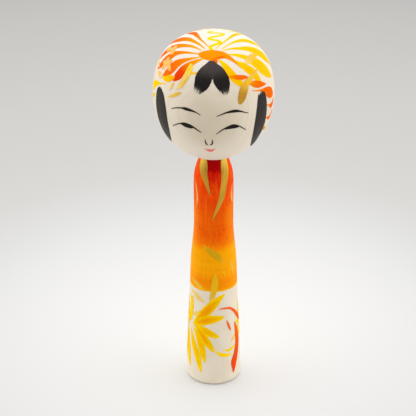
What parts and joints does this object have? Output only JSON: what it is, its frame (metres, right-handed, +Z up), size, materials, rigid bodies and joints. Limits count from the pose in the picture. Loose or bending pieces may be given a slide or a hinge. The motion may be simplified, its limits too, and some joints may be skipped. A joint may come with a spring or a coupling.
{
  "type": "kokeshi doll",
  "caption": "Turned wooden kokeshi doll with a round painted head that turns on a dowel in a slim, gently flared body.",
  "frame": {"origin": "middle of the flat base, on the surface that the doll stands on", "axes": "+Z up along the turning axis of body and head, face towards -Y at rest"},
  "size_m": [0.0558, 0.0558, 0.18],
  "materials": {
    "body_wood": "waxed pale dogwood, dyed red to orange to yellow over its upper half, bare ivory below",
    "head_wood": "waxed pale dogwood, satin, face left bare",
    "dowel_wood": "plain birch dowel, unfinished",
    "ink_black": "brushed black sumi ink under wax",
    "dye_red": "brushed red-orange dye under wax",
    "dye_yellow": "brushed yellow-orange dye under wax",
    "paint_gold": "thin brushed gold paint, slightly metallic"
  },
  "bodies": {
    "body": {"body": "body_wood", "neck_dowel": "dowel_wood"},
    "head": {"head": "head_wood"}
  },
  "joints": [
    {"name": "head_turn", "type": "hinge", "parent": "body", "child": "head", "pos_m": [0, 0, 0.121], "axis": [0, 0, 1], "continuous": true}
  ]
}
